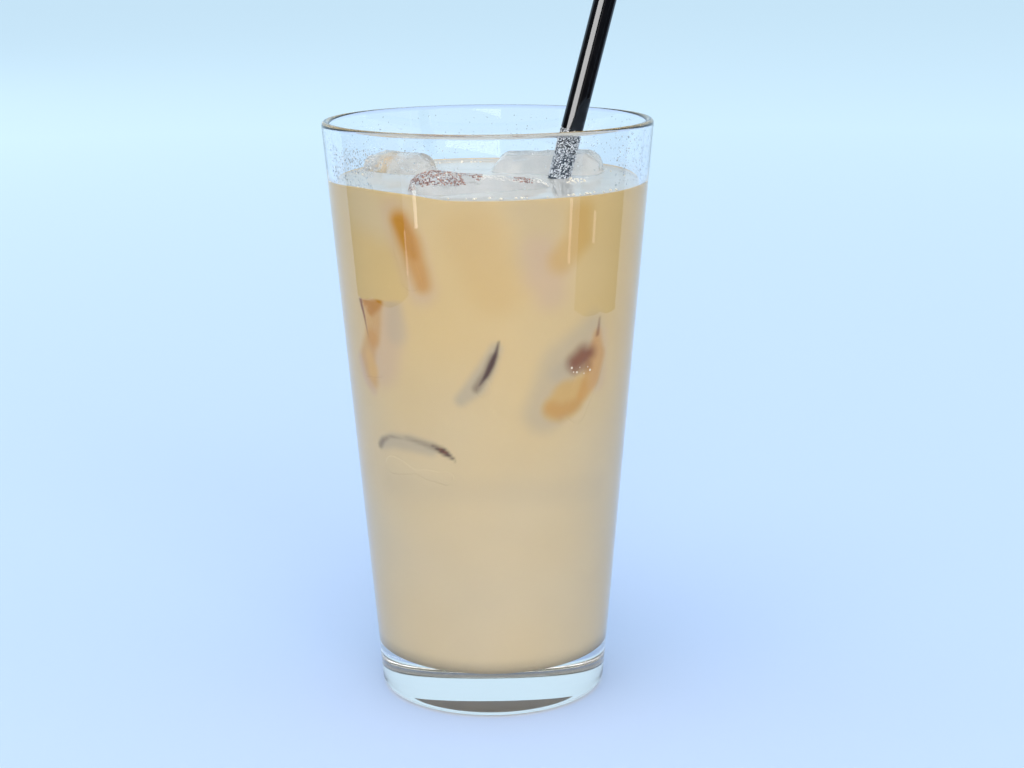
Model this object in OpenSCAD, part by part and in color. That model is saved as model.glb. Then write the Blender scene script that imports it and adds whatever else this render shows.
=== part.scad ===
// Iced latte: a tall conical glass of milky iced coffee, with floating ice and a straw.
// Millimetres, +Z up. The origin is the middle of the ring that the glass stands on,
// +X is to the right of someone facing the glass, and +Y points away from them.

/* [Glass] */
// Height of the glass
glass_h = 158; // [125:1:195]
// Outer diameter across the rim
rim_d = 88.5; // [72:0.5:110]
// Outer diameter across the base
base_d = 62; // [50:0.5:68]
// Thickness of the wall at the rim
rim_wall = 2.2; // [1.6:0.1:3]
// Thickness of the wall where it meets the floor
foot_wall = 4; // [3:0.1:5]
// Thickness of the solid floor
floor_t = 11.3; // [6:0.1:14]
// Radius of the outer edge at the foot
heel_r = 2.5; // [1.5:0.1:3.5]
// Radius of the corner between the floor and the wall, inside
well_r = 6; // [3:0.5:8]
// Diameter of the shallow hollow under the floor
hollow_d = 46; // [30:1:48]
// Depth of the shallow hollow under the floor
hollow_h = 0.8; // [0.2:0.1:2]

/* [Drink] */
// From the rim down to the surface of the drink
headroom = 16.2; // [12:0.1:25]
// Clearance between the drink and everything that it touches
drink_gap = 0.1; // [0.05:0.05:0.3]

/* [Straw] */
// Outer diameter of the straw
straw_d = 6; // [4.5:0.5:8]
// Thickness of the straw's wall
straw_wall = 0.4; // [0.2:0.1:0.8]
// Length of the straw
straw_l = 210; // [190:5:260]
// Where the straw crosses the drink's surface: to the right of the glass's axis
straw_right = 19.4; // [12:0.1:22]
// Where the straw crosses the drink's surface: behind the glass's axis
straw_behind = 1; // [-2:0.5:2]
// Free floor between the straw's foot and the rounded corner of the floor
straw_foot_free = 5.1; // [2:0.1:8]
// Clearance between the straw's foot and the floor
straw_rest_gap = 0.2; // [0.1:0.1:0.4]

/* [Ice] */
// Width, depth and height of the left ice cube
ice_left_size = [22, 14.5, 23]; // [12:0.5:24]
// Height of the left ice cube's middle below the drink's surface
ice_left_sink = 6; // [5:0.5:10]
// From the middle of the left ice cube to the wall of the glass
ice_left_inset = 9.8; // [9:0.1:12]
// Width, depth and height of the right ice cube
ice_right_size = [31, 15.5, 24]; // [12:0.5:36]
// Height of the right ice cube's middle below the drink's surface
ice_right_sink = 6.6; // [5:0.2:10]
// From the middle of the right ice cube to the wall of the glass
ice_right_inset = 17; // [16.5:0.1:18]
// Width, depth and height of the front ice cube
ice_front_size = [36, 17, 22]; // [14:0.5:40]
// Height of the front ice cube's middle below the drink's surface
ice_front_sink = 6; // [5:0.5:10]
// From the middle of the front ice cube to the wall of the glass
ice_front_inset = 19.2; // [18:0.1:24]
// Radius of the melted corners of the ice
ice_corner_r = 4.5; // [3:0.5:6]
// Clearance between the ice and the glass, the straw and the other ice
ice_gap = 0.4; // [0.2:0.1:1]

/* [Hidden] */
$fn = 128;

glass_tint = [0.86, 0.93, 0.97, 0.35];
latte_tint = [0.84, 0.74, 0.59];
straw_tint = [0.05, 0.05, 0.06];
ice_tint = [0.88, 0.92, 0.94, 0.7];

// The straight wall ends where the round rim starts
lip_z = glass_h - rim_wall / 2;

// Radius of the outside and of the inside of the wall at a height
function outer_r(z) = base_d / 2 + (rim_d - base_d) / 2 * z / lip_z;
function wall_at(z) = foot_wall + (rim_wall - foot_wall) * (z - floor_t) / (lip_z - floor_t);
function inner_r(z) = outer_r(z) - wall_at(z);

drink_z = glass_h - headroom;
surface_r = inner_r(drink_z);

// Points along an arc, from one angle to another
function arc(middle, r, from, to) =
    [for (i = [0:arc_steps]) middle + r * [cos(from + (to - from) * i / arc_steps),
                                           sin(from + (to - from) * i / arc_steps)]];
arc_steps = 12;

// The middle of a rounded lower corner that touches the floor and a leaning wall
function corner_middle(foot_r, z, r, lean) = [foot_r - r * (1 - sin(lean)) / cos(lean), z + r];

outer_lean = atan((rim_d - base_d) / 2 / lip_z);
inner_lean = atan((inner_r(lip_z) - inner_r(floor_t)) / (lip_z - floor_t));
well_middle = corner_middle(inner_r(floor_t), floor_t, well_r, inner_lean);
floor_flat_r = well_middle[0];

// The straw stands on the floor at the left and crosses the surface at the right
straw_foot_x = -(floor_flat_r - straw_d / 2 - straw_foot_free);
straw_run = norm([straw_right - straw_foot_x, straw_behind]);
straw_turn = atan2(straw_behind, straw_right - straw_foot_x);
straw_lean = atan(straw_run / (drink_z - floor_t));
straw_foot_z = floor_t + straw_rest_gap + straw_d / 2 * sin(straw_lean);

// Where each ice cube floats round the glass, how it is turned and tilted,
// and how much smaller its right-hand end has melted
ice_left_at = 142;
ice_left_pose = [6, -4, -40];
ice_left_melt = 0.9;
ice_right_at = 42;
ice_right_pose = [16, -4, -20];
ice_right_melt = 0.95;
ice_front_at = -95;
ice_front_pose = [-12, 3, 20];
ice_front_melt = 0.75;

// Steps in each quarter turn of the ice's round corners
ice_steps = 4;

// Half of the glass's section: the hollow under the floor, the heel, the rim and the inside
lip_middle = [rim_d / 2 - rim_wall / 2, lip_z];
dome_r = (pow(hollow_d / 2, 2) + pow(hollow_h, 2)) / (2 * hollow_h);
dome_angle = asin(hollow_d / 2 / dome_r);
glass_section = concat(
    arc([0, hollow_h - dome_r], dome_r, 90, 90 - dome_angle),
    arc(corner_middle(base_d / 2, 0, heel_r, outer_lean), heel_r, -90, -outer_lean),
    arc(lip_middle, rim_wall / 2, -outer_lean, 180 - inner_lean),
    arc(well_middle, well_r, -inner_lean, -90),
    [[0, floor_t]]);

// The space inside the glass, drawn in by a clearance, up to a height
module well(clear, top_z) {
    rotate_extrude()
    polygon(concat(
        [[0, floor_t + clear]],
        arc(well_middle, well_r - clear, -90, -inner_lean),
        [[inner_r(top_z) - clear / cos(inner_lean), top_z], [0, top_z]]));
}

module glass() {
    color(glass_tint)
    rotate_extrude()
    polygon(glass_section);
}

// A rod along the straw's line, from its foot
module straw_line(d, from, len) {
    translate([straw_foot_x, 0, straw_foot_z])
    rotate([0, straw_lean, straw_turn])
    translate([0, 0, from])
    cylinder(h = len, d = d);
}

module straw() {
    color(straw_tint)
    difference() {
        straw_line(straw_d, 0, straw_l);
        straw_line(straw_d - 2 * straw_wall, -1, straw_l + 2);
    }
}

// The room that the straw takes, with a clearance all round
module straw_room(clear) {
    straw_line(straw_d + 2 * clear, -clear, straw_l);
}

// A melted ice cube: a stack of rings with round corners, smaller towards its right-hand end.
// Each ring climbs round the lower or the upper edge, and the flat ends close the stack.
module ice_cube(size, melt, grow) {
    flat = size / 2 - [1, 1, 1] * ice_corner_r;
    r = ice_corner_r + grow;
    climb = 80 / ice_steps;
    ring = 4 * (ice_steps + 1);
    rings = 2 * (ice_steps + 1);
    points = [
        for (end = [-1, 1], i = [0:ice_steps], side = [0:3], j = [0:ice_steps])
            let (b = end < 0 ? (i - ice_steps) * climb : i * climb,
                 a = 90 * (side + j / ice_steps),
                 x = (side == 0 || side == 3 ? 1 : -1) * flat[0] + r * cos(b) * cos(a),
                 y = (side < 2 ? 1 : -1) * flat[1] + r * cos(b) * sin(a),
                 z = end * flat[2] + r * sin(b),
                 k = 1 - (1 - melt) * (x / size[0] + 0.5))
            [x, k * y, k * z]];
    sides = [
        for (i = [0:rings - 2], j = [0:ring - 1])
            let (low = i * ring, next = (j + 1) % ring)
            [low + j, low + ring + j, low + ring + next, low + next]];
    bottom = [for (j = [0:ring - 1]) j];
    top = [for (j = [0:ring - 1]) rings * ring - 1 - j];
    polyhedron(points, concat(sides, [bottom, top]));
}

// An ice cube where it floats
module floating(size, melt, at, inset, sink, pose, grow) {
    rotate(at)
    translate([surface_r - inset, 0, drink_z - sink])
    rotate(-at)
    rotate(pose)
    ice_cube(size, melt, grow);
}

module left_block(grow) {
    floating(ice_left_size, ice_left_melt, ice_left_at, ice_left_inset, ice_left_sink,
             ice_left_pose, grow);
}

module right_block(grow) {
    floating(ice_right_size, ice_right_melt, ice_right_at, ice_right_inset, ice_right_sink,
             ice_right_pose, grow);
}

module front_block(grow) {
    floating(ice_front_size, ice_front_melt, ice_front_at, ice_front_inset, ice_front_sink,
             ice_front_pose, grow);
}

module ice_left() {
    color(ice_tint)
    difference() {
        intersection() {
            left_block(0);
            well(ice_gap, glass_h);
        }
        front_block(ice_gap);
        straw_room(ice_gap);
    }
}

module ice_right() {
    color(ice_tint)
    difference() {
        intersection() {
            right_block(0);
            well(ice_gap, glass_h);
        }
        front_block(ice_gap);
        left_block(ice_gap);
        straw_room(ice_gap);
    }
}

module ice_front() {
    color(ice_tint)
    difference() {
        intersection() {
            front_block(0);
            well(ice_gap, glass_h);
        }
        straw_room(ice_gap);
    }
}

// The drink fills the glass up to its surface, round the straw and the ice
module latte() {
    color(latte_tint)
    difference() {
        well(drink_gap, drink_z);
        straw_room(drink_gap);
        left_block(drink_gap);
        right_block(drink_gap);
        front_block(drink_gap);
    }
}

glass();
latte();
straw();
ice_left();
ice_right();
ice_front();
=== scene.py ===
"""The looks of an iced latte: a clear glass of milky coffee with ice, droplets and a straw.

Everything is in metres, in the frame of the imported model: +X is to the right of someone facing
the glass, +Y points away from them and +Z up. An azimuth is an angle round the glass in degrees,
0 at the side that faces the camera and growing to the right.
"""

import math

import bmesh
import bpy
import numpy as np
from mathutils import Matrix, Vector, noise


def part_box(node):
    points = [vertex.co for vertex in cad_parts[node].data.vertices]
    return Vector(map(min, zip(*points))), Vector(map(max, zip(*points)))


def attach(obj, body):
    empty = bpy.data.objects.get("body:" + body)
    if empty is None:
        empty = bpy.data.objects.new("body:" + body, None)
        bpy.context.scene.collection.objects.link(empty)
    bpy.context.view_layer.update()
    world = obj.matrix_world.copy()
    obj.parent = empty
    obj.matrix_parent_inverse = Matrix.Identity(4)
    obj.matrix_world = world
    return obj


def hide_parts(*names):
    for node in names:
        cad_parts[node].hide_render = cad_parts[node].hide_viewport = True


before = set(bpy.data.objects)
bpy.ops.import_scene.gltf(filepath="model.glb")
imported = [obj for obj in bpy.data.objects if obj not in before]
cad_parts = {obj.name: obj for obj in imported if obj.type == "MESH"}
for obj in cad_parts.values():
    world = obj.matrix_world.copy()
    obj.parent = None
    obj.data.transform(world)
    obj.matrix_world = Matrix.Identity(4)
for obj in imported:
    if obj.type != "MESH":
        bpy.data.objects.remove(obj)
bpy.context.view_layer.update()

MM = 0.001

# ---------------------------------------------------------------- sizes of the glass and drink

GLASS_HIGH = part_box("glass")[1]
LATTE_LOW, LATTE_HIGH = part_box("latte")
RIM_R = GLASS_HIGH.x
GLASS_H = GLASS_HIGH.z
DRINK_Z = LATTE_HIGH.z
DRINK_GAP = 0.1 * MM

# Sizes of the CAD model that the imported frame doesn't give
BASE_R = 31 * MM
RIM_WALL = 2.2 * MM
FOOT_WALL = 4 * MM
HEEL_R = 2.5 * MM
WELL_R = 6 * MM
HOLLOW_R = 23 * MM
HOLLOW_H = 0.8 * MM
FLOOR_Z = LATTE_LOW.z - DRINK_GAP
LIP_Z = GLASS_H - RIM_WALL / 2

# How far the drink, and the ice in it, reach into the glass so that no air shows between them
INTO_GLASS = 0.15 * MM
ICE_INTO_GLASS = 0.22 * MM

# How far the drink reaches into the floating ice and into the straw, for the same reason
INTO_ICE = 0.1 * MM
INTO_STRAW = 0.05 * MM


def outer_r(z):
    """Radius of the outside of the glass at a height."""
    return BASE_R + (RIM_R - BASE_R) * z / LIP_Z


def inner_r(z):
    """Radius of the inside of the glass at a height."""
    return outer_r(z) - FOOT_WALL - (RIM_WALL - FOOT_WALL) * (z - FLOOR_Z) / (LIP_Z - FLOOR_Z)


def arc(middle, r, start, end, steps):
    """Points along an arc, from one angle to another in radians."""
    turn = np.linspace(start, end, steps + 1)
    return [(middle[0] + r * math.cos(a), middle[1] + r * math.sin(a)) for a in turn]


def corner_middle(foot_r, z, r, lean):
    """The middle of a rounded lower corner that touches a floor and a leaning wall."""
    return foot_r - r * (1 - math.sin(lean)) / math.cos(lean), z + r


def finer(section, step):
    """The section with its long straight stretches cut up, so that they shade as straight."""
    from_end = 0.2 * MM
    points = [section[0]]
    for a, b in zip(section, section[1:]):
        length = math.dist(a, b)
        if length > 2 * step:
            near = from_end / length
            inside = np.linspace(near, 1 - near, max(2, round(length / step)))
            points += [(a[0] + (b[0] - a[0]) * t, a[1] + (b[1] - a[1]) * t) for t in inside]
        points.append(b)
    return points


OUTER_LEAN = math.atan((RIM_R - BASE_R) / LIP_Z)
INNER_LEAN = math.atan((inner_r(LIP_Z) - inner_r(FLOOR_Z)) / (LIP_Z - FLOOR_Z))
WELL_MIDDLE = corner_middle(inner_r(FLOOR_Z), FLOOR_Z, WELL_R, INNER_LEAN)
HEEL_MIDDLE = corner_middle(BASE_R, 0, HEEL_R, OUTER_LEAN)


# ---------------------------------------------------------------- building blocks

def new_object(name, mesh):
    """An object that shows the mesh."""
    made = bpy.data.objects.new(name, mesh)
    bpy.context.scene.collection.objects.link(made)
    return made


def mesh_of(name, points, faces):
    """A smooth-shaded mesh object from points and faces."""
    mesh = bpy.data.meshes.new(name)
    mesh.from_pydata([tuple(p) for p in points], [], faces)
    mesh.shade_smooth()
    return new_object(name, mesh)


def round_the_glass(azimuth, r, z):
    """A point, or an array of them, at an azimuth in degrees, a radius and a height."""
    a = np.radians(azimuth)
    return np.stack([r * np.sin(a), -r * np.cos(a), z + 0 * a], axis=-1)


def lathe(name, section, azimuths):
    """A closed solid of revolution. The section runs from the axis, out, up and back to it."""
    rings = np.array(section[1:-1])
    count = len(azimuths)
    grid = round_the_glass(np.array(azimuths)[None, :], rings[:, :1], rings[:, 1:])
    points = [(0, 0, section[0][1]), *grid.reshape(-1, 3), (0, 0, section[-1][1])]
    last = len(points) - 1
    top = last - count
    faces = [(0, 1 + (j + 1) % count, 1 + j) for j in range(count)]
    for i in range(len(rings) - 1):
        low, high = 1 + i * count, 1 + (i + 1) * count
        faces += [(low + j, low + (j + 1) % count, high + (j + 1) % count, high + j)
                  for j in range(count)]
    faces += [(top + j, top + (j + 1) % count, last) for j in range(count)]
    return mesh_of(name, points, faces)


def points_of(piece):
    """The piece's vertices as an array."""
    flat = np.empty(len(piece.data.vertices) * 3)
    piece.data.vertices.foreach_get("co", flat)
    return flat.reshape(-1, 3)


def normals_of(piece):
    """The piece's vertex normals as an array."""
    flat = np.empty(len(piece.data.vertices) * 3)
    piece.data.vertex_normals.foreach_get("vector", flat)
    return flat.reshape(-1, 3)


def move_points(piece, points):
    """Puts the piece's vertices at new places."""
    piece.data.vertices.foreach_set("co", np.asarray(points, dtype=float).ravel())
    piece.data.update()


def with_modifiers(piece):
    """Applies the piece's modifiers to its mesh."""
    graph = bpy.context.evaluated_depsgraph_get()
    mesh = bpy.data.meshes.new_from_object(piece.evaluated_get(graph))
    piece.modifiers.clear()
    piece.data = mesh
    mesh.shade_smooth()
    return piece


def waves(points, size, seed):
    """Smooth noise between -1 and 1 at each point, with waves of about the given size."""
    shift = Vector((seed * 7.3, seed * 3.1, seed * 5.7))
    return np.array([noise.noise(Vector(p) / size + shift) for p in points])


def square_to(axis):
    """Two directions at right angles to an axis and to each other."""
    side = axis.orthogonal().normalized()
    return side, axis.cross(side)


def smoothstep(x):
    """0 below 0, 1 above 1, and a smooth climb between."""
    x = np.clip(x, 0, 1)
    return x * x * (3 - 2 * x)


def tint(piece, colours):
    """Stores a colour for each vertex, which the material reads."""
    layer = piece.data.color_attributes.new("tint", "FLOAT_COLOR", "POINT")
    rgba = np.ones((len(piece.data.vertices), 4))
    rgba[:, :3] = colours
    layer.data.foreach_set("color", rgba.ravel())


def linear(r, g, b):
    """A colour given as a screen shows it, 0 to 255, in the linear values that shaders take."""
    return tuple(((c / 255 + 0.055) / 1.055) ** 2.4 for c in (r, g, b))


# ---------------------------------------------------------------- materials

def node_material(name):
    """A new material, with its nodes, links and Principled shader."""
    made = bpy.data.materials.new(name)
    made.use_nodes = True
    return made, made.node_tree.nodes, made.node_tree.links, made.node_tree.nodes["Principled BSDF"]


def noise_node(nodes, links, scale, detail=3.0):
    """A noise texture on the object's own coordinates."""
    place = nodes.new("ShaderNodeTexCoord")
    texture = nodes.new("ShaderNodeTexNoise")
    texture.inputs["Scale"].default_value = scale
    texture.inputs["Detail"].default_value = detail
    links.new(place.outputs["Object"], texture.inputs["Vector"])
    return texture


def ranged(nodes, links, source, low, high):
    """A value that runs from low to high as the source runs from 0.3 to 0.7."""
    mapped = nodes.new("ShaderNodeMapRange")
    mapped.inputs["From Min"].default_value = 0.3
    mapped.inputs["From Max"].default_value = 0.7
    mapped.inputs["To Min"].default_value = low
    mapped.inputs["To Max"].default_value = high
    links.new(source, mapped.inputs["Value"])
    return mapped.outputs["Result"]


def colour_ramp(nodes, links, source, stops):
    """A colour that runs through the stops, each a place from 0 to 1 and a colour."""
    ramp = nodes.new("ShaderNodeValToRGB")
    first, last = ramp.color_ramp.elements
    for stop, (position, colour) in zip((first, last), (stops[0], stops[-1])):
        stop.position = position
        stop.color = (*colour, 1)
    for position, colour in stops[1:-1]:
        ramp.color_ramp.elements.new(position).color = (*colour, 1)
    links.new(source, ramp.inputs["Fac"])
    return ramp.outputs["Color"]


def stored_tint(nodes):
    """The colour that each vertex has stored."""
    stored = nodes.new("ShaderNodeVertexColor")
    stored.layer_name = "tint"
    return stored.outputs["Color"]


def bump(nodes, links, shader, height, distance):
    """Small relief on the shader's normal."""
    relief = nodes.new("ShaderNodeBump")
    relief.inputs["Strength"].default_value = 1.0
    relief.inputs["Distance"].default_value = distance
    links.new(height, relief.inputs["Height"])
    links.new(relief.outputs["Normal"], shader.inputs["Normal"])


def let_lamps_through(material):
    """Shadow rays pass, so that light reaches what is behind or inside the clear piece."""
    nodes, links = material.node_tree.nodes, material.node_tree.links
    shader = nodes["Principled BSDF"]
    path = nodes.new("ShaderNodeLightPath")
    clear = nodes.new("ShaderNodeBsdfTransparent")
    mix = nodes.new("ShaderNodeMixShader")
    links.new(path.outputs["Is Shadow Ray"], mix.inputs["Fac"])
    links.new(shader.outputs["BSDF"], mix.inputs[1])
    links.new(clear.outputs["BSDF"], mix.inputs[2])
    links.new(mix.outputs["Shader"], nodes["Material Output"].inputs["Surface"])


def clear_material(name, colour, ior, low, high, scale):
    """A clear material, with a roughness that varies a little from place to place."""
    made, nodes, links, shader = node_material(name)
    shader.inputs["Base Color"].default_value = (*colour, 1)
    shader.inputs["Transmission Weight"].default_value = 1
    shader.inputs["IOR"].default_value = ior
    texture = noise_node(nodes, links, scale)
    links.new(ranged(nodes, links, texture.outputs["Fac"], low, high), shader.inputs["Roughness"])
    let_lamps_through(made)
    return made


def milk_material(name, roughness, ior, specular):
    """Milky coffee: the stored tint, faintly clouded."""
    made, nodes, links, shader = node_material(name)
    cloud = noise_node(nodes, links, 70, 2.0)
    mix = nodes.new("ShaderNodeMix")
    mix.data_type = "RGBA"
    mix.blend_type = "MULTIPLY"
    mix.inputs["Factor"].default_value = 1
    shade = ranged(nodes, links, cloud.outputs["Fac"], 0.985, 1.01)
    links.new(stored_tint(nodes), mix.inputs[6])
    links.new(shade, mix.inputs[7])
    links.new(mix.outputs[2], shader.inputs["Base Color"])
    shader.inputs["Roughness"].default_value = roughness
    shader.inputs["IOR"].default_value = ior
    shader.inputs["Specular IOR Level"].default_value = specular
    return made


def ice_material(name, transmission):
    """Melting ice: partly clear, with cloudy veils and a wet, finely grained surface."""
    made, nodes, links, shader = node_material(name)
    cloud = noise_node(nodes, links, 160, 4.0)
    veils = colour_ramp(nodes, links, cloud.outputs["Fac"],
                        [(0.35, linear(224, 232, 238)), (0.65, linear(250, 252, 254))])
    links.new(veils, shader.inputs["Base Color"])
    shader.inputs["Transmission Weight"].default_value = transmission
    shader.inputs["IOR"].default_value = 1.31
    grain = noise_node(nodes, links, 420, 3.0)
    links.new(ranged(nodes, links, grain.outputs["Fac"], 0.05, 0.28), shader.inputs["Roughness"])
    bump(nodes, links, shader, grain.outputs["Fac"], 0.0002)
    let_lamps_through(made)
    return made


def foam_material(name):
    """Bubbles of coffee foam, in their stored tint."""
    made, nodes, links, shader = node_material(name)
    links.new(stored_tint(nodes), shader.inputs["Base Color"])
    shader.inputs["Roughness"].default_value = 0.3
    shader.inputs["IOR"].default_value = 1.33
    shader.inputs["Specular IOR Level"].default_value = 0.2
    grain = noise_node(nodes, links, 900, 2.0)
    bump(nodes, links, shader, grain.outputs["Fac"], 0.00005)
    return made


def straw_material(name):
    """Glossy black plastic, with a gloss and a black that vary a little."""
    made, nodes, links, shader = node_material(name)
    grain = noise_node(nodes, links, 260, 3.0)
    links.new(ranged(nodes, links, grain.outputs["Fac"], 0.06, 0.1), shader.inputs["Roughness"])
    black = colour_ramp(nodes, links, grain.outputs["Fac"],
                        [(0, (0.002, 0.002, 0.003)), (1, (0.007, 0.007, 0.008))])
    links.new(black, shader.inputs["Base Color"])
    shader.inputs["IOR"].default_value = 1.5
    shader.inputs["Specular IOR Level"].default_value = 0.2
    return made


GLASS_MATERIAL = clear_material("clear glass", (0.985, 0.995, 1.0), 1.5, 0.0, 0.012, 30)
WATER_MATERIAL = clear_material("water drops", (0.80, 0.83, 0.85), 1.33, 0.0, 0.03, 200)
MILK_SIDE_MATERIAL = milk_material("milky coffee against glass", 0.6, 1.33, 0.02)
MILK_TOP_MATERIAL = milk_material("milky coffee surface", 0.05, 1.33, 0.5)
ICE_MATERIAL = ice_material("melting ice", 0.8)
FOAM_MATERIAL = foam_material("coffee foam")
STRAW_MATERIAL = straw_material("black straw")

# ---------------------------------------------------------------- the glass

GLASS_COLUMNS = 256


def glass_section():
    """Half of the glass: the hollow under the floor, the heel, the outside, the rim, the inside."""
    dome_r = (HOLLOW_R ** 2 + HOLLOW_H ** 2) / (2 * HOLLOW_H)
    dome_angle = math.asin(HOLLOW_R / dome_r)
    quarter = math.pi / 2
    return (arc((0, HOLLOW_H - dome_r), dome_r, quarter, quarter - dome_angle, 16)
            + arc(HEEL_MIDDLE, HEEL_R, -quarter, -OUTER_LEAN, 12)
            + arc((RIM_R - RIM_WALL / 2, LIP_Z), RIM_WALL / 2, -OUTER_LEAN, math.pi - INNER_LEAN, 20)
            + arc(WELL_MIDDLE, WELL_R, -INNER_LEAN, -quarter, 16)
            + [(0, FLOOR_Z)])


def make_glass():
    """The glass, with the faint unevenness of pressed glass between its foot and its rim."""
    azimuths = np.arange(GLASS_COLUMNS) * 360 / GLASS_COLUMNS
    glass = lathe("glass_body", finer(glass_section(), 4 * MM), azimuths)
    points = points_of(glass)
    above_foot = np.clip((points[:, 2] - 12 * MM) / (20 * MM), 0, 1)
    below_rim = np.clip((LIP_Z - 3 * MM - points[:, 2]) / (10 * MM), 0, 1)
    uneven = -0.012 * MM * (1 + waves(points * (1, 1, 0.25), 9 * MM, 1)) * (above_foot * below_rim)
    radius = np.maximum(np.hypot(points[:, 0], points[:, 1]), MM)
    points[:, :2] *= (1 + uneven / radius)[:, None]
    move_points(glass, points)
    glass.data.materials.append(GLASS_MATERIAL)
    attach(glass, "root")
    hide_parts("glass")
    return glass


# ---------------------------------------------------------------- colours of the drink

MILK = (0.72, 0.50, 0.215)
MILK_PALE = (0.66, 0.53, 0.335)
MILK_FILM = (0.53, 0.495, 0.44)
# Painted light: the pits round the floating ice are pale, as if lit through the milk
PIT_PAINTED_LIGHT = (0.90, 0.86, 0.80)
# Painted light: the milk's underside is bright and warm, as if lit under the glass
UNDERSIDE_PAINTED_LIGHT = (0.98, 0.82, 0.62)
# Painted shade: orange, amber, brown and dark are milk in the shade behind the sunk ice
SHADE_ORANGE = (0.60, 0.275, 0.04)
TAN = (0.63, 0.375, 0.115)
SHADE_AMBER = (0.51, 0.20, 0.005)
PEACH = (0.74, 0.44, 0.13)
SHADE_BROWN = (0.21, 0.05, 0.008)
SHADE_DARK = (0.07, 0.025, 0.015)
GREY = (0.47, 0.38, 0.26)
ROSE = (0.62, 0.42, 0.27)

# What shows of the ice that is sunk in the drink, as soft strokes on the glass: painted shade of
# the milk seen through the clear ice, and a few clouds in the milk. Each has a colour, how strong
# it is, how far its edge fades in mm, and its points, each with an azimuth in degrees, a height in
# mm and a half width in mm. A half width below 0 narrows the fading edge.
STROKES = [
    # Warmer and greyer clouds in the milk
    (MILK_PALE, 0.6, 9, [(-52, 139, 2), (-42, 136, 1)]),
    (GREY, 0.3, 8, [(14, 139, 1), (19, 136, 2), (17, 127, 1)]),
    (ROSE, 0.65, 7, [(18, 128, 0.5), (21.4, 121.8, 2), (23.2, 117, 0.5)]),
    (TAN, 0.3, 8, [(-6, 133, 3), (2, 118, 2)]),
    (GREY, 0.16, 6, [(-50, 64, 0.5), (0, 64.5, 0.5), (55, 62, 0.5)]),
    # The upper left block's edge, in painted shade
    (ROSE, 0.55, 5, [(-35.7, 138, 1), (-31, 130, 2), (-26, 118, 1.2)]),
    (SHADE_ORANGE, 0.8, 3.4, [(-33, 136, 1.0), (-30, 131, 1.3), (-27.6, 125, 1.0), (-25.2, 119.6, 0.3)]),
    (SHADE_AMBER, 0.6, 2.4, [(-33, 135.4, 0.6), (-30.5, 131, 0.5), (-28.5, 127, 0.1)]),
    # The upper right block, deep in the milk, in painted shade
    (TAN, 0.75, 4.5, [(34.6, 137, 1), (34.5, 131, 1.5), (27, 125.5, 1)]),
    # The middle block's edge: a crescent of painted shade with a grey tail
    (GREY, 0.75, 2.8, [(2, 103, 0.1), (-1.4, 98, 0.8), (-5.5, 93.5, 1.2), (-12, 89.5, 0.2)]),
    (SHADE_DARK, 0.5, 1.9, [(1.4, 101, 0.02), (-1.2, 97, 0.1), (-5.4, 92.8, 0.02)]),
    (SHADE_DARK, 0.92, 0.9, [(3.1, 105, -0.3), (2.2, 102, 0.02), (0.6, 99.2, 0.3), (-1.6, 96.2, 0.12),
                       (-4.2, 93.6, -0.4)]),
    # The lower left block's edge, in painted shade: a hook and a grey arc that end in a brown almond
    (GREY, 0.75, 2.8, [(-52.5, 74.6, 0.1), (-46, 76, 0.6), (-36, 76.4, 0.8), (-26, 75.6, 0.4)]),
    (SHADE_DARK, 0.5, 1.5, [(-55, 73.9, 0.2), (-52.6, 75.6, 0.02), (-48, 77, -0.5), (-39, 77.6, -0.7)]),
    (SHADE_DARK, 0.35, 1.4, [(-38, 77.6, -0.3), (-30, 77, 0.0), (-24, 76.2, 0.2), (-19, 74.6, 0.1)]),
    (SHADE_DARK, 0.9, 0.9, [(-25.5, 76.6, -0.4), (-20.8, 75.3, 0.45), (-15.2, 73.0, -0.3)]),
    (SHADE_BROWN, 0.6, 0.5, [(-21.8, 75.6, 0.05), (-19.4, 74.8, 0.1)]),
    # The right block that touches the glass, in painted shade: a brown smear above an orange lobe
    (GREY, 0.55, 6, [(44, 107, 0.5), (30, 98, 3), (23, 86, 3)]),
    (ROSE, 0.5, 4, [(48, 103, 1), (49, 92, 1)]),
    (TAN, 0.9, 3.0, [(38.5, 91, 1.6), (33, 88.6, 3.4), (27.5, 86.4, 2.0)]),
    (SHADE_AMBER, 0.4, 3.2, [(38, 86.4, 0.2), (30, 84.6, 0.6), (25.2, 86.2, 0.4)]),
    (SHADE_ORANGE, 0.65, 2.4, [(46.6, 104.5, 0.1), (47, 99, 1.8), (45, 93, 1.8), (41, 89, 0.8)]),
    (GREY, 0.5, 3.4, [(31, 97, 0.6), (27.5, 95.6, 0.4)]),
    (SHADE_BROWN, 0.9, 4.2, [(43.0, 100, -0.2), (39.8, 99.4, 0.8), (35.6, 98, 0.2)]),
    (SHADE_BROWN, 0.45, 2.6, [(36, 95.8, -0.2), (43, 96, -0.2)]),
    (SHADE_BROWN, 0.6, 0.8, [(47.4, 109, -0.2), (46.7, 104.6, 0.2)]),
]

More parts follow.
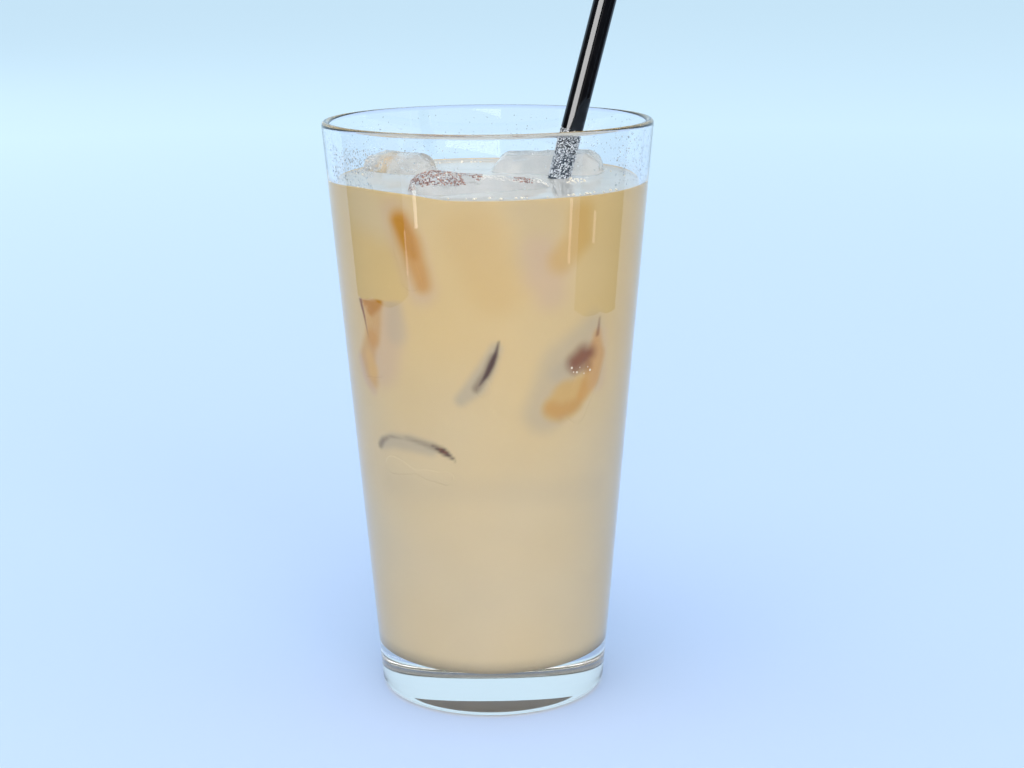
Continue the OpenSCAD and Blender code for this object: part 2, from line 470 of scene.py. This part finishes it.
# The left block that touches the glass shows, in painted shade, below its flat top, which slopes
# a little: the height of its middle in mm, how many mm it rises in each degree, and the azimuth
# of its middle
BLOCK_TOP = (114.0, 0.05, -54)
BLOCK_STROKES = [
    (ROSE, 0.6, 6, [(-42, 113, 1), (-43, 106, 2), (-49, 97, 3)]),
    (GREY, 0.4, 4, [(-39, 112, 0.5), (-39, 106, 1)]),
    (SHADE_ORANGE, 0.6, 2.6, [(-51.5, 114, 2.6), (-51.5, 108, 1.8), (-52.4, 103.5, 1.2)]),
    (SHADE_ORANGE, 0.6, 3.0, [(-53.5, 103.5, 1.0), (-58.5, 97, 2.0), (-56.5, 92, 1.4)]),
    (SHADE_AMBER, 0.85, 2.0, [(-54.5, 113.4, 0.8), (-49, 113.6, 1.4), (-52, 111.2, 0.6)]),
    (PEACH, 0.55, 2.2, [(-56.5, 98.5, 0.4), (-54.4, 94.5, 0.9)]),
    (ROSE, 0.6, 2.2, [(-64, 97, 0.2), (-61, 91.5, 0.4), (-56, 89, 0.4)]),
    (SHADE_BROWN, 0.85, 0.7, [(-58.7, 113.8, 0.3), (-57.0, 109, 0.05), (-55.4, 103.3, -0.4)]),
]


# The radius at which lengths round the wall are measured
STROKE_R = inner_r(100 * MM)


def outside_stroke(around, z, stroke):
    """How far each place is outside a stroke, in metres, and below 0 inside it."""
    outside = np.full(len(z), np.inf)
    points = [(math.radians(a) * STROKE_R, h * MM, w * MM) for a, h, w in stroke]
    for (x0, z0, w0), (x1, z1, w1) in zip(points, points[1:]):
        run = (x1 - x0) ** 2 + (z1 - z0) ** 2
        t = np.clip(((around - x0) * (x1 - x0) + (z - z0) * (z1 - z0)) / run, 0, 1)
        gap = np.hypot(around - x0 - t * (x1 - x0), z - z0 - t * (z1 - z0))
        outside = np.minimum(outside, gap - w0 - t * (w1 - w0))
    return outside


def milk_colours(points):
    """The drink's colour at each point: milk, soft clouds and painted shade where sunk ice shows."""
    azimuth = np.arctan2(points[:, 0], -points[:, 1])
    around = azimuth * STROKE_R
    z = points[:, 2]
    cloud = smoothstep(0.5 + 0.5 * waves(points, 22 * MM, 3))
    low = smoothstep((110 * MM - z) / (60 * MM))
    pale = np.clip(0.3 * cloud + 0.7 * low, 0, 1)[:, None]
    colours = np.array(MILK) * (1 - pale) + np.array(MILK_PALE) * pale
    wobble = 0.25 * (1.2 * MM * waves(points, 6 * MM, 5))
    near_wall = smoothstep((np.hypot(points[:, 0], points[:, 1]) - inner_r(z) + 3 * MM) / (2 * MM))
    top, slope, middle = BLOCK_TOP
    below_top = smoothstep(((top + slope * (np.degrees(azimuth) - middle)) * MM - z) / (0.5 * MM))
    for strokes, seen in ((STROKES, near_wall), (BLOCK_STROKES, near_wall * below_top)):
        for colour, strength, fade, stroke in strokes:
            gap = outside_stroke(around + wobble, z + wobble, stroke)
            shown = (strength * smoothstep(1 - gap / (fade * MM)) * seen)[:, None]
            colours = colours * (1 - shown) + np.array(colour) * shown
    return colours


# ---------------------------------------------------------------- ice and straw

def make_floating_ice(node, seed):
    """A floating block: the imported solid, remeshed, with softened edges and an uneven skin."""
    ice = new_object(node + "_block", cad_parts[node].data.copy())
    welded = bmesh.new()
    welded.from_mesh(ice.data)
    bmesh.ops.remove_doubles(welded, verts=welded.verts, dist=0.001 * MM)
    welded.to_mesh(ice.data)
    welded.free()
    remesh = ice.modifiers.new("remesh", "REMESH")
    remesh.mode = "VOXEL"
    remesh.voxel_size = 0.45 * MM
    smooth = ice.modifiers.new("smooth", "SMOOTH")
    smooth.factor = 0.5
    smooth.iterations = 4
    with_modifiers(ice)
    points = points_of(ice)
    relief = 0.30 * MM * waves(points, 5 * MM, seed) + 0.10 * MM * waves(points, 1.6 * MM, seed + 1)
    move_points(ice, points + normals_of(ice) * (relief - 0.15 * MM)[:, None])
    ice.data.materials.clear()
    ice.data.materials.append(ICE_MATERIAL)
    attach(ice, "root")
    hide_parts(node)
    return ice


# The straw's size in the CAD model, and how fine its mesh is round it and along it
STRAW_R = 3 * MM
STRAW_WALL = 0.4 * MM
STRAW_COLUMNS = 72
STRAW_RINGS = 60


def straw_line():
    """The middle of the straw's foot and of its top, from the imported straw's own points."""
    points = points_of(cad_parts["straw"])
    low = points[points[:, 2] < np.median(points[:, 2])]
    high = points[points[:, 2] > np.median(points[:, 2])]
    foot = (low.min(0) + low.max(0)) / 2
    top = (high.min(0) + high.max(0)) / 2
    return Vector(foot), Vector(top)


def rings_along(foot, top, rings):
    """The points of rings round a line, each given by its distance from the foot and its radius."""
    axis = (top - foot).normalized()
    side, other = square_to(axis)
    points = []
    for along, r in rings:
        for j in range(STRAW_COLUMNS):
            a = 2 * math.pi * j / STRAW_COLUMNS
            points.append(foot + axis * along + (side * math.cos(a) + other * math.sin(a)) * r)
    return points


def make_straw():
    """The straw: a thin tube with rounded ends."""
    foot, top = straw_line()
    length = (top - foot).length
    lip = STRAW_WALL / 2
    middle = STRAW_R - lip
    bends = 8
    bottom = [(lip - lip * math.sin(a), middle + lip * math.cos(a))
              for a in np.linspace(math.pi, 0, bends + 1)]
    crown = [(length - lip + lip * math.sin(a), middle + lip * math.cos(a))
             for a in np.linspace(0, math.pi, bends + 1)]
    start, end = lip + MM, length - lip - MM
    shaft = [(along, STRAW_R) for along in np.linspace(start, end, STRAW_RINGS)]
    bore = [(along, STRAW_R - STRAW_WALL) for along in np.linspace(end, start, STRAW_RINGS)]
    rings = bottom + shaft + crown + bore
    points = rings_along(foot, top, rings)
    count = len(rings)
    faces = []
    for i in range(count):
        low, high = i * STRAW_COLUMNS, (i + 1) % count * STRAW_COLUMNS
        faces += [(low + j, low + (j + 1) % STRAW_COLUMNS, high + (j + 1) % STRAW_COLUMNS, high + j)
                  for j in range(STRAW_COLUMNS)]
    straw = mesh_of("straw_tube", points, faces)
    straw.data.materials.append(STRAW_MATERIAL)
    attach(straw, "root")
    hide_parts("straw")
    return straw


# ---------------------------------------------------------------- the drink

# Where the drink meets the glass: azimuths, and the heights there above the drink's level in mm
CONTACT_LINE = [(-180, 0.7), (-110, 0.8), (-69, 1.1), (-54, 1.5), (-42, 1.3), (-27, 0.8), (-20, 0.1),
                (-14, -0.6), (8, -0.6), (16, -0.3), (30, -0.3), (45, -0.4), (75, 0.2), (110, 0.7),
                (180, 0.7)]

# The drink's mesh is finer in front, up to this azimuth to each side, than behind
FRONT_HALF = 75
FRONT_COLUMNS = 230
BACK_COLUMNS = 80
SKIN_ROWS = 160

# How wide a band of the surface, along the glass, is cut into fine rings
EDGE_BAND = 3.2 * MM


def contact_height(azimuth):
    """How high the drink stands at the glass above its level."""
    known = np.array(CONTACT_LINE)
    base = np.interp(azimuth, known[:, 0], known[:, 1])
    around = [np.interp((azimuth + shift + 180) % 360 - 180, known[:, 0], known[:, 1])
              for shift in (-4, 4)]
    return (base + around[0] + around[1]) / 3 * MM


def drink_section():
    """Half of the drink: the floor, the round corner, the wall and the surface."""
    quarter = math.pi / 2
    bottom = [(0, FLOOR_Z - INTO_GLASS)]
    corner = arc(WELL_MIDDLE, WELL_R + INTO_GLASS, -quarter, -INNER_LEAN, 14)
    flat = [(corner[0][0] * t, FLOOR_Z - INTO_GLASS) for t in (0.25, 0.5, 0.75)]
    start = corner[-1][1]
    share = np.linspace(0, 1, SKIN_ROWS) ** 0.72
    wall = [(inner_r(z) + INTO_GLASS, z) for z in start + (DRINK_Z - start) * share[1:]]
    edge = wall[-1][0]
    inward = [edge - EDGE_BAND * t ** 1.4 for t in np.linspace(0.05, 1, 18)]
    rest = np.linspace(edge - EDGE_BAND, 0, 46)[1:]
    surface = [(r, DRINK_Z) for r in [*inward, *rest]]
    return bottom + flat + corner + wall + surface


def raise_edge(points):
    """Lifts the drink's edge to its contact line, with the curve of a liquid that wets a wall."""
    azimuth = np.degrees(np.arctan2(points[:, 0], -points[:, 1]))
    radius = np.hypot(points[:, 0], points[:, 1])
    rise = contact_height(azimuth)
    edge = inner_r(DRINK_Z) + INTO_GLASS
    on_top = points[:, 2] > DRINK_Z - 0.001 * MM
    on_wall = smoothstep((points[:, 2] - 120 * MM) / (DRINK_Z - 120 * MM))
    fall = np.exp(-np.clip(edge - radius, 0, None) / (1.1 * MM))
    lift = np.where(on_top, rise * fall, rise * on_wall)
    ripple = 0.07 * MM * waves(points, 7 * MM, 9) * np.clip((edge - radius) / (2 * MM), 0, 1)
    moved = points.copy()
    moved[:, 2] += lift + np.where(on_top, ripple, 0)
    wall = inner_r(moved[:, 2]) + INTO_GLASS
    at_wall = (radius > edge - 0.01 * MM) | (~on_top & (points[:, 2] > 30 * MM))
    scale = np.where(at_wall, wall / np.maximum(radius, MM), 1)
    moved[:, :2] *= scale[:, None]
    return moved


def cut_out(piece, tool):
    """Takes the tool's shape out of the piece."""
    cut = piece.modifiers.new("cut", "BOOLEAN")
    cut.operation = "DIFFERENCE"
    cut.solver = "MANIFOLD"
    cut.object = tool
    with_modifiers(piece)
    bpy.data.objects.remove(tool)


def shrunk(piece, by):
    """A copy of the piece with its skin drawn in."""
    copy = new_object(piece.name + "_tool", piece.data.copy())
    copy.data.materials.clear()
    move_points(copy, points_of(piece) - normals_of(piece) * by)
    return copy


def straw_core():
    """The room that the straw takes in the drink."""
    foot, top = straw_line()
    length = (top - foot).length
    rings = [(INTO_STRAW, STRAW_R - INTO_STRAW), (length, STRAW_R - INTO_STRAW)]
    points = rings_along(foot, top, rings)
    n = STRAW_COLUMNS
    faces = [(j, (j + 1) % n, n + (j + 1) % n, n + j) for j in range(n)]
    faces += [tuple(range(n - 1, -1, -1)), tuple(range(n, 2 * n))]
    return mesh_of("straw_core", points, faces)


def drink_colours(points):
    """The milk's colours, with painted light in the pits round the ice and on the milk underneath,
    and the film on top.
    """
    z = points[:, 2]
    behind_wall = inner_r(z) - np.hypot(points[:, 0], points[:, 1])
    # Painted light: pale pits round the ice
    painted_pit_light = smoothstep((behind_wall - MM) / (2 * MM)) * (z > FLOOR_Z + 20 * MM)
    film = smoothstep((z - DRINK_Z + 0.6 * MM) / (0.4 * MM)) * smoothstep(behind_wall / (0.3 * MM))
    # Painted light: a bright, warm underside
    painted_under_light = smoothstep((FLOOR_Z + 0.3 * MM - z) / (0.4 * MM))
    colours = milk_colours(points)
    for colour, share in ((PIT_PAINTED_LIGHT, painted_pit_light), (MILK_FILM, film), (UNDERSIDE_PAINTED_LIGHT, painted_under_light)):
        share = share[:, None]
        colours = colours * (1 - share) + np.array(colour) * share
    return colours


def gloss_the_top(drink):
    """Gives the faces of the surface the second, glossier material."""
    faces = len(drink.data.polygons)
    middles = np.empty(faces * 3)
    upward = np.empty(faces * 3)
    drink.data.polygons.foreach_get("center", middles)
    drink.data.polygons.foreach_get("normal", upward)
    middles, upward = middles.reshape(-1, 3), upward.reshape(-1, 3)
    on_top = (middles[:, 2] > DRINK_Z - 1.5 * MM) & (upward[:, 2] > 0.2)
    drink.data.polygons.foreach_set("material_index", on_top.astype(int))


def make_drink(blocks):
    """The milky coffee, cut round the straw and the floating ice."""
    front = np.linspace(-FRONT_HALF, FRONT_HALF, FRONT_COLUMNS)
    back = np.linspace(FRONT_HALF, 360 - FRONT_HALF, BACK_COLUMNS + 2)[1:-1]
    drink = lathe("milky_coffee", drink_section(), np.concatenate([front, back]))
    move_points(drink, raise_edge(points_of(drink)))
    for block in blocks:
        cut_out(drink, shrunk(block, INTO_ICE))
    cut_out(drink, straw_core())
    tint(drink, drink_colours(points_of(drink)))
    drink.data.materials.clear()
    drink.data.materials.append(MILK_SIDE_MATERIAL)
    drink.data.materials.append(MILK_TOP_MATERIAL)
    gloss_the_top(drink)
    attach(drink, "root")
    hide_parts("latte")
    return drink


# ---------------------------------------------------------------- sunk ice, drops and bubbles

def rounded_block(half, r, steps):
    """Points and faces of a block with round corners, from a cube whose faces are cut fine."""
    cube = bmesh.new()
    bmesh.ops.create_cube(cube, size=2)
    bmesh.ops.subdivide_edges(cube, edges=cube.edges, cuts=steps, use_grid_fill=True)
    points = np.array([v.co for v in cube.verts])
    faces = [[v.index for v in f.verts] for f in cube.faces]
    cube.free()
    half = np.array(half)
    spread = points * half
    core = np.clip(spread, -(half - r), half - r)
    out = spread - core
    length = np.linalg.norm(out, axis=1)[:, None]
    return core + out / np.maximum(length, 1e-9) * r, faces


# The blocks that are sunk in the drink and touch the glass: azimuth and height of the middle in
# degrees and mm, the depth of the middle behind the glass in mm, half sizes in mm, turns in degrees
SUNK_ICE = [
    (-30, 128, 8.0, (8.5, 7.0, 10.5), (3, 38, -14)),
    (-54, 103, 8.2, (7.0, 8.5, 11.5), (4, 12, 4)),
    (1, 97, 9.6, (8.0, 7.5, 8.5), (-6, 40, 20)),
    (-35, 68, 9.5, (11.0, 8.0, 8.0), (38, 4, 5)),
    (38, 94, 8.4, (9.0, 8.5, 12.0), (6, -14, 24)),
    (29, 128, 10.5, (8.0, 8.0, 10.0), (5, 20, 12)),
]


def make_sunk_ice():
    """The sunk blocks. Where one touches the glass it shows, in the milk's colour and painted shade.
    """
    points, faces = [], []
    for i, (azimuth, height, depth, half, turns) in enumerate(SUNK_ICE):
        block, block_faces = rounded_block([h * MM for h in half], 3.5 * MM, 44)
        block = block * (1 + 0.05 * waves(block, 6 * MM, 30 + i)[:, None])
        pitch, yaw, roll = (math.radians(t) for t in turns)
        turn = (Matrix.Rotation(math.radians(azimuth), 3, "Z") @ Matrix.Rotation(roll, 3, "Y")
                @ Matrix.Rotation(yaw, 3, "Z") @ Matrix.Rotation(pitch, 3, "X"))
        middle = round_the_glass(azimuth, inner_r(height * MM) - depth * MM, height * MM)
        block = block @ np.array(turn).T + middle
        radius = np.hypot(block[:, 0], block[:, 1])
        limit = inner_r(block[:, 2]) + ICE_INTO_GLASS
        block[:, :2] *= np.minimum(1, limit / np.maximum(radius, MM))[:, None]
        faces += [[len(points) + v for v in f] for f in block_faces]
        points += [tuple(p) for p in block]
    ice = mesh_of("sunk_ice", points, faces)
    tint(ice, milk_colours(points_of(ice)))
    ice.data.materials.append(MILK_SIDE_MATERIAL)
    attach(ice, "root")
    return ice


def beads(name, places, normals, radii, heights, rings=4, columns=10):
    """Many small round caps as one mesh. Each sits on its place with its height along its normal."""
    cap = [(math.sin(a), math.cos(a)) for a in np.linspace(math.pi / 2, 0, rings + 1)[:-1]]
    points, faces = [], []
    for place, normal, radius, height in zip(places, normals, radii, heights):
        up = Vector(normal).normalized()
        side, other = square_to(up)
        start = len(points)
        foot = Vector(place) - up * 0.25 * height
        for out, along in cap:
            for j in range(columns):
                a = 2 * math.pi * j / columns
                flat = side * math.cos(a) + other * math.sin(a)
                points.append(foot + flat * radius * out + up * height * 1.25 * along)
        points += [foot + up * height * 1.25, foot]
        for i in range(rings - 1):
            low, high = start + i * columns, start + (i + 1) * columns
            faces += [(low + j, low + (j + 1) % columns, high + (j + 1) % columns, high + j)
                      for j in range(columns)]
        top = start + (rings - 1) * columns
        peak, base = len(points) - 2, len(points) - 1
        faces += [(top + j, top + (j + 1) % columns, peak) for j in range(columns)]
        faces += [(start + (j + 1) % columns, start + j, base) for j in range(columns)]
    return mesh_of(name, points, faces)


# Where drops cling to the inside of the glass above the drink: how many, the azimuths, the
# heights in mm and the largest radius in mm
DROP_PATCHES = [
    (420, -72, -44, 143, 153, 0.26),
    (260, -60, -14, 147, 154, 0.2),
    (90, -20, 60, 147, 156, 0.16),
    (300, 50, 80, 143, 156, 0.24),
    (500, 80, 290, 144, 156, 0.2),
]


def make_drops(rng):
    """Drops of water on the inside of the glass."""
    places, normals, radii = [], [], []
    for count, start, end, low, high, largest in DROP_PATCHES:
        azimuth = rng.uniform(start, end, count)
        z = rng.uniform(low, high, count) * MM
        places += list(round_the_glass(azimuth, inner_r(z), z))
        normals += list(-round_the_glass(azimuth, np.ones(count), 0 * z))
        radii += list(largest * MM * rng.uniform(0.3, 1, count) ** 1.5)
    radii = np.array(radii)
    drops = beads("wall_drops", places, normals, radii, radii * 0.5)
    drops.data.materials.append(WATER_MATERIAL)
    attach(drops, "root")
    return drops


# How many drops the straw has, and how far above the drink they reach along it
STRAW_DROPS = 2400
STRAW_WET = 13.5 * MM


def make_straw_drops(rng):
    """Grey drops and froth on the straw just above the surface."""
    foot, top = straw_line()
    axis = (top - foot).normalized()
    side, other = square_to(axis)
    start = (DRINK_Z - foot.z) / axis.z
    along = start + STRAW_WET * rng.uniform(0, 1, STRAW_DROPS) ** 1.2
    angle = rng.uniform(0, 2 * math.pi, STRAW_DROPS)
    radii = rng.uniform(0.07, 0.22, STRAW_DROPS) * MM
    normals = [side * math.cos(a) + other * math.sin(a) for a in angle]
    places = [foot + axis * t + n * STRAW_R for t, n in zip(along, normals)]
    drops = beads("straw_drops", places, normals, radii, radii * 0.6)
    shade = rng.uniform(0.28, 0.82, STRAW_DROPS)
    shade = np.repeat(shade, len(drops.data.vertices) // STRAW_DROPS)
    tint(drops, shade[:, None] * np.array((0.96, 1.0, 1.06)))
    drops.data.materials.append(FOAM_MATERIAL)
    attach(drops, "root")
    return drops


# Bubbles on the drink: how many, their middle azimuth and spread in degrees, and how far
# they are from the middle of the drink, from and to, in mm
BUBBLE_PATCHES = [
    (26, 75, 8, 22, 27),
    (24, 20, 30, 38, 39.8),
    (24, -40, 25, 38, 39.8),
    (50, 180, 60, 36, 39.8),
]

# Small bubbles on the right sunk block, against the glass: azimuth, height and radius in mm
WALL_BUBBLES = [(34.2, 96.6, 0.34), (36.9, 95.2, 0.3), (43.8, 95.2, 0.34), (35.2, 95.4, 0.2),
                (40.6, 94.6, 0.18), (42.4, 96.2, 0.16), (38.2, 96.4, 0.15)]

# How many bubbles sit on the front block's ridge, and the bubbles' colours
RIDGE_BUBBLES = 2000
BUBBLE_DARK = (0.12, 0.04, 0.02)
BUBBLE_BROWN = (0.42, 0.19, 0.10)
BUBBLE_PALE = (0.72, 0.68, 0.62)
BUBBLE_CREAM = (0.80, 0.72, 0.60)
BUBBLE_WALL = (0.85, 0.74, 0.6)


def ridge_of(block):
    """Which of the block's vertices lie along its top edge, in uneven clumps."""
    skin = points_of(block)
    clump = waves(skin, 3.2 * MM, 21)
    steps = np.arange(skin[:, 0].min(), skin[:, 0].max(), MM)
    peaks = [skin[abs(skin[:, 0] - x) < MM, 2].max() for x in steps]
    top = np.interp(skin[:, 0], steps, peaks)
    left = smoothstep(-skin[:, 0] / (10 * MM))
    ridge = (top - skin[:, 2] < (1.0 + 2.2 * left) * MM) & (clump > -0.1 - 0.35 * left)
    return np.flatnonzero(ridge & (top > DRINK_Z + 1.2 * MM))


def make_foam(front_ice, rng):
    """Coffee bubbles: brown and pale on the front block's ridge, pale on the drink and the wall."""
    skin = points_of(front_ice)
    normals = normals_of(front_ice)
    chosen = rng.choice(ridge_of(front_ice), RIDGE_BUBBLES)
    places, ups = list(skin[chosen] - 0.08 * MM * normals[chosen]), list(normals[chosen])
    radii = list(rng.uniform(0.10, 0.28, len(chosen)) * MM)
    shade = rng.uniform(0, 1, len(chosen))[:, None]
    colours = np.array(BUBBLE_DARK) * (1 - shade) + np.array(BUBBLE_BROWN) * shade
    x = skin[chosen, 0]
    pale = (x > -1.5 * MM) & (abs(x - 9 * MM) > 2.5 * MM) | (rng.uniform(0, 1, len(x)) > 0.9)
    colours[pale] = BUBBLE_PALE
    for count, azimuth, spread, radius_low, radius_high in BUBBLE_PATCHES:
        turn = azimuth + rng.normal(0, spread, count)
        r = rng.uniform(radius_low, radius_high, count) * MM
        places += list(round_the_glass(turn, r, np.full(count, DRINK_Z)))
        ups += [(0, 0, 1)] * count
        radii += list(rng.uniform(0.15, 0.5, count) * MM)
        colours = np.vstack([colours, np.tile(BUBBLE_CREAM, (count, 1))])
    for azimuth, height, radius in WALL_BUBBLES:
        places.append(round_the_glass(azimuth, inner_r(height * MM) + ICE_INTO_GLASS, height * MM))
        ups.append(round_the_glass(azimuth, 1, 0))
        radii.append(radius * MM)
    colours = np.vstack([colours, np.tile(BUBBLE_WALL, (len(WALL_BUBBLES), 1))])
    radii = np.array(radii)
    heights = radii * 0.8
    heights[-len(WALL_BUBBLES):] = 0.12 * MM
    foam = beads("coffee_foam", places, ups, radii, heights)
    tint(foam, np.repeat(colours, len(foam.data.vertices) // len(radii), axis=0))
    foam.data.materials.append(FOAM_MATERIAL)
    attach(foam, "root")
    return foam


# ---------------------------------------------------------------- floor, light and camera

# How far from the glass the floor's painted light and shade settle into its far colour, in metres
FLOOR_FADE = 1.6


def make_floor():
    """A wide pale floor: painted light where the glass stands, painted shade round it, paler far
    off.
    """
    bpy.ops.mesh.primitive_circle_add(vertices=96, radius=9, fill_type="NGON")
    floor = bpy.context.object
    floor.name = "pale_floor"
    made, nodes, links, shader = node_material("pale floor")
    place = nodes.new("ShaderNodeTexCoord")
    length = nodes.new("ShaderNodeVectorMath")
    length.operation = "LENGTH"
    links.new(place.outputs["Object"], length.inputs[0])
    spread = nodes.new("ShaderNodeMapRange")
    spread.inputs["From Min"].default_value = 0.0
    spread.inputs["From Max"].default_value = FLOOR_FADE
    links.new(length.outputs["Value"], spread.inputs["Value"])
    # Painted light under the glass, then painted shade round it that fades out with distance
    colour = colour_ramp(nodes, links, spread.outputs["Result"],
                         [((BASE_R - HEEL_R) / FLOOR_FADE, (0.98, 0.93, 0.86)),
                          (BASE_R / FLOOR_FADE, (0.51, 0.64, 0.90)),
                          (1, (0.68, 0.85, 0.97))])
    links.new(colour, shader.inputs["Base Color"])
    shader.inputs["Roughness"].default_value = 0.9
    shader.inputs["Specular IOR Level"].default_value = 0.0
    floor.data.materials.append(made)


def from_minus_one(nodes, links, source):
    """A value from -1 to 1, brought to 0 to 1."""
    mapped = nodes.new("ShaderNodeMapRange")
    mapped.inputs["From Min"].default_value = -1
    links.new(source, mapped.inputs["Value"])
    return mapped.outputs["Result"]


def make_world():
    """Soft light, warm in front and pale blue behind. Mirror reflections see a room that is pale
    blue up to a height and dark above it."""
    world = bpy.data.worlds.new("studio")
    bpy.context.scene.world = world
    world.use_nodes = True
    nodes, links = world.node_tree.nodes, world.node_tree.links
    place = nodes.new("ShaderNodeTexCoord")
    split = nodes.new("ShaderNodeSeparateXYZ")
    links.new(place.outputs["Generated"], split.inputs["Vector"])
    mirror = nodes.new("ShaderNodeBackground")
    room = colour_ramp(nodes, links, from_minus_one(nodes, links, split.outputs["Z"]),
                       [(0.62, (0.60, 0.80, 0.97)), (0.8, (0.10, 0.11, 0.12))])
    links.new(room, mirror.inputs["Color"])
    soft = nodes["Background"]
    paper = colour_ramp(nodes, links, from_minus_one(nodes, links, split.outputs["Y"]),
                        [(0.42, (1, 0.98, 0.95)), (0.6, (0.65, 0.84, 0.97))])
    links.new(paper, soft.inputs["Color"])
    path = nodes.new("ShaderNodeLightPath")
    mirrored = nodes.new("ShaderNodeMath")
    mirrored.operation = "SUBTRACT"
    mirrored.use_clamp = True
    links.new(path.outputs["Is Glossy Ray"], mirrored.inputs[0])
    links.new(path.outputs["Is Transmission Ray"], mirrored.inputs[1])
    mix = nodes.new("ShaderNodeMixShader")
    links.new(mirrored.outputs["Value"], mix.inputs["Fac"])
    links.new(soft.outputs["Background"], mix.inputs[1])
    links.new(mirror.outputs["Background"], mix.inputs[2])
    links.new(mix.outputs["Shader"], nodes["World Output"].inputs["Surface"])


def softbox(name, azimuth, elevation, distance, width, height, power):
    """A soft rectangular lamp that faces the glass."""
    data = bpy.data.lights.new(name, "AREA")
    data.shape = "RECTANGLE"
    data.size = width
    data.size_y = height
    data.energy = power
    lamp = bpy.data.objects.new(name, data)
    a, e = math.radians(azimuth), math.radians(elevation)
    aim = Vector((0, 0, GLASS_H / 2))
    out = Vector((math.sin(a) * math.cos(e), -math.cos(a) * math.cos(e), math.sin(e)))
    lamp.location = aim + out * distance
    lamp.rotation_euler = (-out).to_track_quat("-Z", "Y").to_euler()
    lamp.visible_glossy = False
    bpy.context.scene.collection.objects.link(lamp)
    return lamp


def make_lamps(straw):
    """Three soft lamps for the whole object, and one that lights only the straw."""
    softbox("top softbox", -20, 62, 2.4, 1.8, 1.8, 12)
    softbox("front softbox", 12, 22, 2.4, 2.0, 1.4, 25)
    low_softbox = softbox("low softbox", -112, 8, 2.4, 2.4, 0.5, 14)
    low_softbox.visible_transmission = False
    window = softbox("straw window", -36, 16, 0.5, 0.44, 0.4, 16)
    window.visible_glossy = True
    window.visible_transmission = False
    window.visible_camera = False
    window.visible_diffuse = False
    only_straw = bpy.data.collections.new("straw only")
    only_straw.objects.link(straw)
    window.light_linking.receiver_collection = only_straw


def standing_card(name, corners, low, high, strength):
    """A card that stands along the corners and shows only in reflections: dark, or as bright as
    the strength says."""
    points = [(x, y, z) for x, y in corners for z in (low, high)]
    faces = [(2 * i, 2 * i + 2, 2 * i + 3, 2 * i + 1) for i in range(len(corners) - 1)]
    card = mesh_of(name, points, faces)
    made, nodes, links, shader = node_material(name)
    shader.inputs["Base Color"].default_value = (0.02, 0.02, 0.02, 1)
    shader.inputs["Roughness"].default_value = 1
    shader.inputs["Specular IOR Level"].default_value = 0
    shader.inputs["Emission Color"].default_value = (1, 0.98, 0.95, 1)
    shader.inputs["Emission Strength"].default_value = strength
    card.data.materials.append(made)
    card.visible_camera = False
    card.visible_diffuse = False
    card.visible_shadow = False
    card.visible_transmission = False


def card_round(name, start, end, distance, low, high, strength):
    """A card that curves round the glass from one azimuth to another."""
    turns = np.linspace(start, end, 25)
    corners = [(distance * math.sin(math.radians(a)), -distance * math.cos(math.radians(a)))
               for a in turns]
    standing_card(name, corners, low, high, strength)


def make_cards():
    """The dark room beyond the paper, and the windows in it that the straw and glass mirror."""
    card_top = 0.32
    standing_card("left card", [(-0.335, -0.19), (-0.415, 0.05), (-0.405, 0.2)], 0, card_top, 0)
    standing_card("right card", [(0.33, -0.155), (0.385, 0), (0.39, 0.13)], 0, card_top, 0)
    card_round("front card", -58, 62, 0.62, 0, card_top, 0)
    card_round("middle window", 4, 6, 0.56, 0.08, 0.18, 6)
    card_round("left gap", -52, -49.4, 0.36, 0.036, 0.055, 5)
    card_round("left card gap", -60.6, -59.4, 0.36, 0.017, 0.037, 3)
    card_round("right gap", 56.8, 59, 0.36, 0.021, 0.05, 3)
    card_round("right card gap", 77, 79.4, 0.35, 0.038, 0.052, 2)


def make_camera():
    """The camera stands in front of the glass and looks a little down at it."""
    data = bpy.data.cameras.new("camera")
    data.sensor_width = 36
    data.lens = 68.86
    data.clip_start = 0.01
    camera = bpy.data.objects.new("camera", data)
    yaw, pitch, roll = math.radians(0.65), math.radians(13.03), math.radians(-0.44)
    right = Vector((math.cos(yaw), -math.sin(yaw), 0))
    forward = Vector((math.sin(yaw) * math.cos(pitch), math.cos(yaw) * math.cos(pitch),
                      -math.sin(pitch)))
    up = right.cross(forward)
    across = right * math.cos(roll) + up * math.sin(roll)
    upright = up * math.cos(roll) - right * math.sin(roll)
    turn = Matrix((across, upright, -forward)).transposed()
    camera.matrix_world = Matrix.Translation((0, -0.52487, 0.20668)) @ turn.to_4x4()
    bpy.context.scene.collection.objects.link(camera)
    bpy.context.scene.camera = camera


# ---------------------------------------------------------------- the scene

make_glass()
straw = make_straw()
ice_blocks = [make_floating_ice(node, seed)
              for seed, node in enumerate(["ice_left", "ice_right", "ice_front"], 11)]
make_drink(ice_blocks)
make_sunk_ice()
rng = np.random.default_rng(7)
make_drops(rng)
make_straw_drops(rng)
make_foam(ice_blocks[2], rng)
make_floor()
make_world()
make_lamps(straw)
make_cards()
make_camera()

scene = bpy.context.scene
scene.view_settings.view_transform = "Standard"
scene.cycles.max_bounces = 24
scene.cycles.transmission_bounces = 20
scene.cycles.glossy_bounces = 8
scene.cycles.diffuse_bounces = 4
scene.cycles.transparent_max_bounces = 24
scene.cycles.caustics_reflective = False
